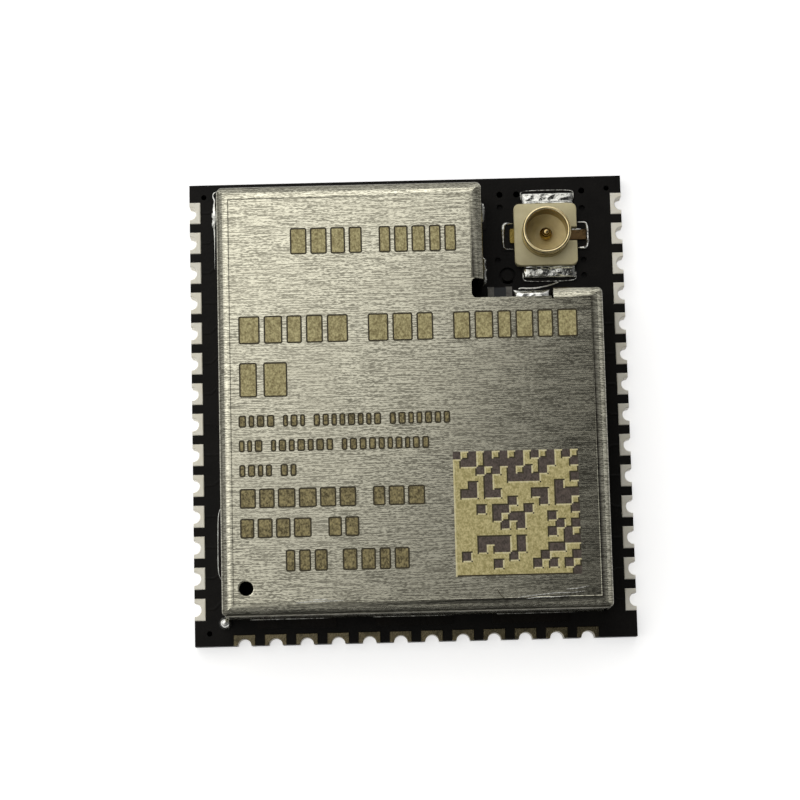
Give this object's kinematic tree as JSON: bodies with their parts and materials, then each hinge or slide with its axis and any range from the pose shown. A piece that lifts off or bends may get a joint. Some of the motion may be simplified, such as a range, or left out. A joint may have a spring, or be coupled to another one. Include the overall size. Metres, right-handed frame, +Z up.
{
  "type": "shielded wireless module",
  "caption": "Surface-mount wireless module: black board with half-hole edge pads on three sides, notched metal shield can and a coaxial antenna receptacle.",
  "frame": {"origin": "middle of the board, on the plane of the pads on its underside", "axes": "+Z up out of the shield can, +Y along the board towards the antenna receptacle, +X across the board with the receptacle on the +X side"},
  "size_m": [0.018, 0.0192, 0.0032],
  "materials": {
    "solder_mask": "matte black solder mask over glass laminate",
    "gold_plate": "thin gold plating on copper",
    "solder": "reflowed tin solder, bright and lumpy",
    "can_sheet": "brushed nickel silver sheet, brushed across the board",
    "receptacle_plastic": "beige moulded liquid crystal polymer",
    "receptacle_gold": "polished gold plating",
    "package_black": "moulded epoxy",
    "terminal_tin": "matte tin plating",
    "crystal_ceramic": "fired ceramic tray",
    "crystal_lid_metal": "seam-welded metal lid",
    "capacitor_ceramic": "brown fired ceramic",
    "resistor_glaze": "black glass glaze",
    "inductor_ceramic": "blue-grey ceramic"
  },
  "bodies": {
    "root": {"circuit_board": "solder_mask", "left_edge_pads": "gold_plate", "right_edge_pads": "gold_plate", "bottom_edge_pads": "gold_plate", "ground_pads": "gold_plate", "shield_lands": "solder", "receptacle_lands": "solder", "component_lands": "solder", "shield_can": "can_sheet", "shield_solder": "solder", "receptacle_base": "receptacle_plastic", "receptacle_shell": "receptacle_gold", "receptacle_contact": "receptacle_gold", "receptacle_solder": "solder", "processor_body": "package_black", "processor_terminals": "terminal_tin", "memory_body": "package_black", "memory_terminals": "terminal_tin", "crystal_base": "crystal_ceramic", "crystal_lid": "crystal_lid_metal", "capacitor_bodies": "capacitor_ceramic", "capacitor_ends": "terminal_tin", "resistor_bodies": "resistor_glaze", "resistor_ends": "terminal_tin", "inductor_bodies": "inductor_ceramic", "inductor_ends": "terminal_tin"}
  },
  "joints": []
}
